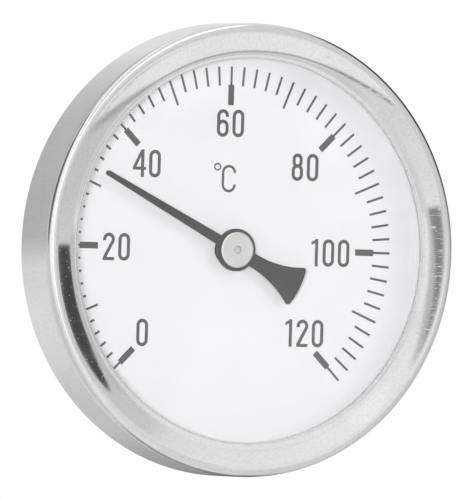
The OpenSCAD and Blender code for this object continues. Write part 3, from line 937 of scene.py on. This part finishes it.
def band(name, stations, tone, soft=0.2, ends=(2, 2), reach=42):
    """Card placed by its mirror image on the bezel, so that it paints a reflection there as the camera
    sees it: stations of (angle, from, to), in degrees and mm.
    Its sides fade out over soft mm and its ends over so many degrees."""
    rows, stride, least = 15, 1.5, 0.01
    path = []
    for first, last in zip(stations, stations[1:]):
        steps = max(1, math.ceil(abs(last[0] - first[0]) / stride))
        path += [[p + (q - p) * i / steps for p, q in zip(first, last)] for i in range(steps)]
    path.append(stations[-1])
    verts, cover = [], []
    for a, s, e in path:
        turned_in = [abs(a - end[0]) / max(over, least) for end, over in zip((path[0], path[-1]), ends)]
        for k in range(rows):
            part = k / (rows - 1)
            verts.append(mirrored_at(a, s + (e - s) * part, reach))
            level = min(1.0, min(part, 1 - part) * (e - s) / soft) * min(1.0, *turned_in)
            cover.append(level * level * (3 - 2 * level))
    faces = []
    for i in range(len(path) - 1):
        for k in range(rows - 1):
            j = i * rows + k
            faces.append((j, j + 1, j + rows + 1, j + rows))
    mesh = card(name, verts, faces, emitter(name, tone, soft=True))
    mesh.attributes.new("cover", "FLOAT", "POINT").data.foreach_set("value", cover)


def lamp(name, place, width, height, power):
    """Soft lamp aimed at the dial, that the metal and the glass don't mirror."""
    data = bpy.data.lights.new(name, "AREA")
    data.shape = "RECTANGLE"
    data.size = width
    data.size_y = height
    data.energy = power
    obj = bpy.data.objects.new(name, data)
    obj.location = place
    obj.rotation_euler = (Vector(place) - on_axis(0, 0, FACE)).to_track_quat("Z", "Y").to_euler()
    bpy.context.collection.objects.link(obj)
    for kind in ("camera", "glossy", "transmission"):
        setattr(obj, "visible_" + kind, False)


def floor():
    """Pale round floor under the object, lighter to the camera, that fades out to its edge."""
    count, radius, level = 96, 0.45, -0.06
    made, tree, shader = principled("pale_floor", Roughness=0.9)
    mottle = noise(tree, where(tree), 9.0)
    feed(tree, shader.inputs["Base Color"], blend(tree, mottle, (0.84,) * 3, (0.88,) * 3))
    shader.inputs["Emission Color"].default_value = (1, 1, 1, 1)
    seen = node(tree, "ShaderNodeLightPath").outputs["Is Camera Ray"]
    feed(tree, shader.inputs["Emission Strength"], maths(tree, "MULTIPLY", seen, 0.32))
    reach = node(tree, "ShaderNodeVectorMath", {0: where(tree)}, operation="LENGTH").outputs["Value"]
    feed(tree, shader.inputs["Alpha"], spread(tree, reach, 1.0, 0.0, 0.5 * radius, radius))
    angles = [math.tau * i / count for i in range(count)]
    rim = [(radius * math.cos(a), radius * math.sin(a), level) for a in angles]
    mesh = bpy.data.meshes.new("floor")
    mesh.from_pydata(rim, [], [list(range(count))])
    mesh.materials.append(made)
    obj = bpy.data.objects.new("floor", mesh)
    bpy.context.collection.objects.link(obj)
    obj.visible_glossy = False


def ramp(tree, fac, stops):
    """Grey that follows fac from -1 to 1 through the stops."""
    made = node(tree, "ShaderNodeValToRGB", {"Fac": spread(tree, fac, 0.0, 1.0, -1.0, 1.0)})
    elements = made.color_ramp.elements
    while len(elements) < len(stops):
        elements.new(0.5)
    for element, (x, tone) in zip(elements, stops):
        element.position = (x + 1) / 2
        element.color = (tone, tone, tone, 1)
    return made.outputs["Color"]


def choose(tree, fac, first, second):
    """First colour where fac is 0, second where it is 1."""
    made = node(tree, "ShaderNodeMix", data_type="RGBA")
    feed(tree, made.inputs["Factor"], fac)
    feed(tree, made.inputs["A"], first)
    feed(tree, made.inputs["B"], second)
    return made.outputs["Result"]


def room():
    """Even soft light; the metal mirrors a grey studio, and the camera sees white."""
    world = bpy.data.worlds.new("room")
    bpy.context.scene.world = world
    world.use_nodes = True
    tree = world.node_tree
    place = node(tree, "ShaderNodeTexCoord").outputs["Generated"]
    x, y, z = node(tree, "ShaderNodeSeparateXYZ", {"Vector": place}).outputs
    above = ramp(tree, x, [
        (-0.45, 0.50), (-0.2, 0.52), (-0.04, 0.58), (0.14, 0.72), (0.22, 0.80), (0.45, 0.79),
    ])
    below = ramp(tree, x, [
        (-0.45, 0.72), (-0.36, 0.77), (-0.22, 0.73), (-0.05, 0.62), (0.14, 0.57),
        (0.30, 0.41), (0.41, 0.32), (0.45, 0.22), (0.6, 0.6),
    ])
    front = ramp(tree, x, [
        (-0.6, 0.82), (0.0, 0.82), (0.25, 0.76), (0.5, 0.70), (0.75, 0.70), (1.0, 0.58),
    ])
    behind = choose(tree, spread(tree, z, 0.0, 1.0, -0.09, 0.03), below, above)
    mirrored = choose(tree, spread(tree, y, 0.0, 1.0, -0.05, 0.05), front, behind)
    ray = node(tree, "ShaderNodeLightPath")
    plain = choose(tree, ray.outputs["Is Glossy Ray"], (0.12, 0.12, 0.12, 1), mirrored)
    seen = choose(tree, ray.outputs["Is Camera Ray"], plain, (1, 1, 1, 1))
    feed(tree, tree.nodes["Background"].inputs["Color"], seen)


floor()
room()
lamp("key", (0.10, -0.98, 0.25), 0.60, 0.50, 1.9)
lamp("fill", (-0.560, -1.085, 0.015), 0.24, 0.10, 11.1)
lamp("rear", (0.5, 0.9, 0.5), 0.6, 0.6, 9.0)

far = [on_axis(x, y, 160) for x, y in ((0, -60), (114, -60), (114, 60), (0, 60))]
fade = (0.62, (0.669, 0, -0.743), 0.004, 0.078)
card("grey_wall", far, [(0, 1, 2, 3)], emitter("grey_wall", 0.90, fade))

# Cards placed by their mirror images in the photograph's view, which paint the bezel's reflections as seen
# from this camera: dark bands, shades, panels and strips of light
band("dark_left", [
    (179.2, 1.86, 4.24), (183, 1.74, 4.24), (190, 1.62, 4.20), (200, 1.62, 4.20), (205, 1.66, 4.22),
    (210, 1.78, 4.20), (214.5, 2.06, 4.10), (218.5, 2.40, 3.95), (224, 3.10, 3.55),
], 0.065, 0.24, (1, 2))
band("left_shade", [
    (172, 0.75, 2.1), (180, 0.7, 2.1), (204, 0.7, 2.1), (216, 0.9, 2.3), (232, 1.0, 2.2),
], 0.57, 0.4, (8, 10), reach=44)
band("lower_left_shade", [(212, 1.2, 4.6), (228, 0.9, 4.7), (248, 1.2, 4.6)], 0.64, 0.6, (8, 14), reach=45)
ARCH = [
    (43, 4.10), (47, 3.55), (50, 3.15), (55, 2.50), (60, 2.06), (66, 1.72), (72, 1.50), (84, 1.26),
    (96, 1.20), (108, 1.18), (120, 1.20), (126, 1.34), (132, 1.60), (138, 2.40), (143, 3.30), (146, 4.10),
]
band("panel", [(a, s + 0.05, 4.75) for a, s in ARCH], 0.89, 0.35)
band("panel_edge", [(a, s - 0.26, s + 0.26) for a, s in ARCH], 0.40, 0.26, (3, 10), reach=40)
band("panel_corner", [(a, s - 0.30, s + 0.46) for a, s in ARCH[:7]], 0.22, 0.34, (3, 12), reach=38.5)
band("panel_end", [
    (118, 0.90, 1.80), (126, 0.95, 2.05), (132, 1.10, 2.60), (138, 1.60, 3.40),
    (143, 2.30, 4.20), (147, 2.90, 4.60), (152, 3.60, 4.90),
], 0.44, 0.7, (10, 8), reach=39)
band("top_shade", [
    (46, 0.3, 1.3), (60, 0.4, 1.7), (72, 0.5, 1.3), (96, 0.5, 1.15),
    (120, 0.5, 1.15), (134, 0.7, 1.4), (152, 0.75, 1.55), (172, 0.8, 1.55),
], 0.66, 0.3, (8, 8))
band("outer_shade", [
    (102, 4.1, 5.0), (120, 3.95, 5.0), (132, 3.75, 4.95), (144, 3.5, 4.9),
    (154, 4.0, 4.85), (180, 4.1, 4.8), (224, 4.1, 4.8),
], 0.62, 0.3, (14, 10))
band("inner_light", [
    (228, 0.25, 1.3), (240, 0.25, 1.3), (252, 0.25, 1.8), (276, 0.25, 1.6), (300, 0.25, 1.75),
    (324, 0.25, 2.0), (336, 0.25, 1.8), (348, 0.25, 1.5), (360, 0.25, 1.4), (376, 0.3, 1.2),
], 0.87, 0.4, (10, 6))
band("bright_spot", [(300, 0.9, 4.7), (312, 0.8, 4.7), (324, 0.8, 2.4)], 0.97, 0.7, (9, 8))
band("outer_light", [
    (256, 4.1, 5.1), (276, 4.1, 5.1), (336, 4.1, 5.1), (352, 4.2, 5.1), (374, 4.5, 5.2),
], 0.86, 0.35, (12, 22))
band("dark_right_halo", [
    (14.0, 0.85, 4.50), (0, 0.95, 4.60), (-12, 1.20, 4.55),
    (-20, 1.75, 4.60), (-26, 2.50, 4.60), (-34, 3.10, 4.50),
], 0.55, 0.9, (1, 5))
band("dark_right", [
    (14.0, 1.40, 4.40), (0, 1.90, 4.36), (-12, 2.60, 4.44), (-20, 3.00, 4.50), (-30, 3.50, 4.55),
], 0.25, 0.8, (1, 11), reach=40)
band("strip_light", [
    (90, 5.72, 6.10), (96, 5.60, 6.00), (108, 5.40, 5.88), (120, 5.30, 5.68),
    (132, 5.24, 5.54), (144, 5.17, 5.46), (156, 5.12, 5.40), (168, 5.06, 5.34),
    (180, 5.00, 5.28), (192, 4.98, 5.26), (216, 4.98, 5.26), (240, 5.00, 5.28),
], 1.38, 0.14, (6, 50))
band("second_strip", [
    (104, 6.32, 6.60), (114, 6.12, 6.50), (120, 6.00, 6.44), (126, 5.90, 6.32),
    (132, 5.80, 6.24), (138, 5.70, 6.10), (144, 5.58, 5.94), (156, 5.30, 5.80),
    (168, 5.24, 5.76), (180, 5.20, 5.74), (192, 5.18, 5.70), (202, 5.20, 5.66),
], 1.06, 0.14, (8, 22), reach=44)
band("dark_line", [
    (140, 5.94, 6.14), (150, 5.84, 6.16), (156, 5.80, 6.22),
    (168, 5.74, 6.26), (176, 5.80, 6.20), (184, 5.88, 6.10),
], 0.15, 0.1, (6, 8))
band("left_corner", [
    (146, 5.7, 6.4), (160, 5.5, 6.5), (200, 5.5, 6.5), (238, 5.6, 6.5),
], 0.64, 0.25, (8, 12), reach=46)
band("lower_corner", [
    (228, 5.7, 6.4), (240, 5.75, 6.5), (252, 5.8, 6.7), (262, 5.9, 7.0), (272, 6.0, 7.0),
], 0.34, 0.3, (9, 6))
band("lower_edge", [(255, 5.9, 6.9), (264, 6.0, 7.2), (274, 6.1, 7.2)], 0.2, 0.3, (7, 4), reach=40)
band("dark_corner", [
    (-32, 5.36, 6.10), (0, 5.36, 6.24), (12, 5.34, 6.38), (24, 5.36, 6.42), (36, 5.38, 6.46),
    (48, 5.44, 6.44), (60, 5.53, 6.42), (72, 5.62, 6.38), (88, 5.80, 6.30),
], 0.04, 0.30, (62, 22))

bpy.context.scene.view_settings.view_transform = "Standard"
